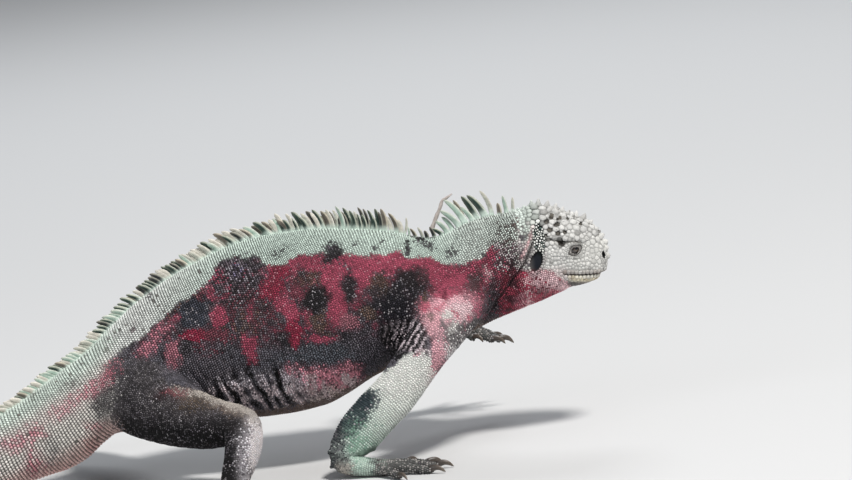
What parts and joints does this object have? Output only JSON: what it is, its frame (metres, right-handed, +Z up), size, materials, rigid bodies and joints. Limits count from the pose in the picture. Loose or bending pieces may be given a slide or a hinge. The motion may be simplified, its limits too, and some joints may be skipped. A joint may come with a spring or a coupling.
{
  "type": "marine iguana model, life-size, male in breeding colours",
  "caption": "Life-size still model of a walking marine iguana: blunt head, combed back crest, sprawling clawed legs and a long tail laid on the floor.",
  "frame": {"origin": "middle of the animal's bounding box, at floor level", "axes": "+X towards the snout along the animal's length, +Y towards its left side, +Z up from the floor it stands on"},
  "size_m": [0.8452, 0.3652, 0.1658],
  "materials": {
    "body_scales": "fine granular scales, mint, crimson and charcoal, dry and matt",
    "head_scales": "pale grey conical bosses and beads, dry and matt",
    "tail_scales": "rows of small keeled scales, pale mint and pinkish, matt",
    "limb_scales": "small keeled scales, pale mint to dark grey, matt",
    "claw_horn": "dark grey-brown horn, slightly glossy",
    "eye": "wet, brown iris and round dark pupil"
  },
  "bodies": {
    "root": {"head": "head_scales", "lower_jaw": "head_scales", "neck": "body_scales", "trunk": "body_scales", "tail_1": "tail_scales", "tail_2": "tail_scales", "tail_3": "tail_scales", "tail_4": "tail_scales", "tail_5": "tail_scales", "eye_left": "eye", "eye_right": "eye", "left_fore_upper_arm": "limb_scales", "left_fore_forearm": "limb_scales", "left_fore_hand": "limb_scales", "left_fore_hand_claw_1": "claw_horn", "left_fore_hand_claw_2": "claw_horn", "left_fore_hand_claw_3": "claw_horn", "left_fore_hand_claw_4": "claw_horn", "left_fore_hand_claw_5": "claw_horn", "left_hind_thigh": "limb_scales", "left_hind_shin": "limb_scales", "left_hind_foot": "limb_scales", "left_hind_foot_claw_1": "claw_horn", "left_hind_foot_claw_2": "claw_horn", "left_hind_foot_claw_3": "claw_horn", "left_hind_foot_claw_4": "claw_horn", "left_hind_foot_claw_5": "claw_horn", "right_fore_upper_arm": "limb_scales", "right_fore_forearm": "limb_scales", "right_fore_hand": "limb_scales", "right_fore_hand_claw_1": "claw_horn", "right_fore_hand_claw_2": "claw_horn", "right_fore_hand_claw_3": "claw_horn", "right_fore_hand_claw_4": "claw_horn", "right_fore_hand_claw_5": "claw_horn", "right_hind_thigh": "limb_scales", "right_hind_shin": "limb_scales", "right_hind_foot": "limb_scales", "right_hind_foot_claw_1": "claw_horn", "right_hind_foot_claw_2": "claw_horn", "right_hind_foot_claw_3": "claw_horn", "right_hind_foot_claw_4": "claw_horn", "right_hind_foot_claw_5": "claw_horn"}
  },
  "joints": []
}
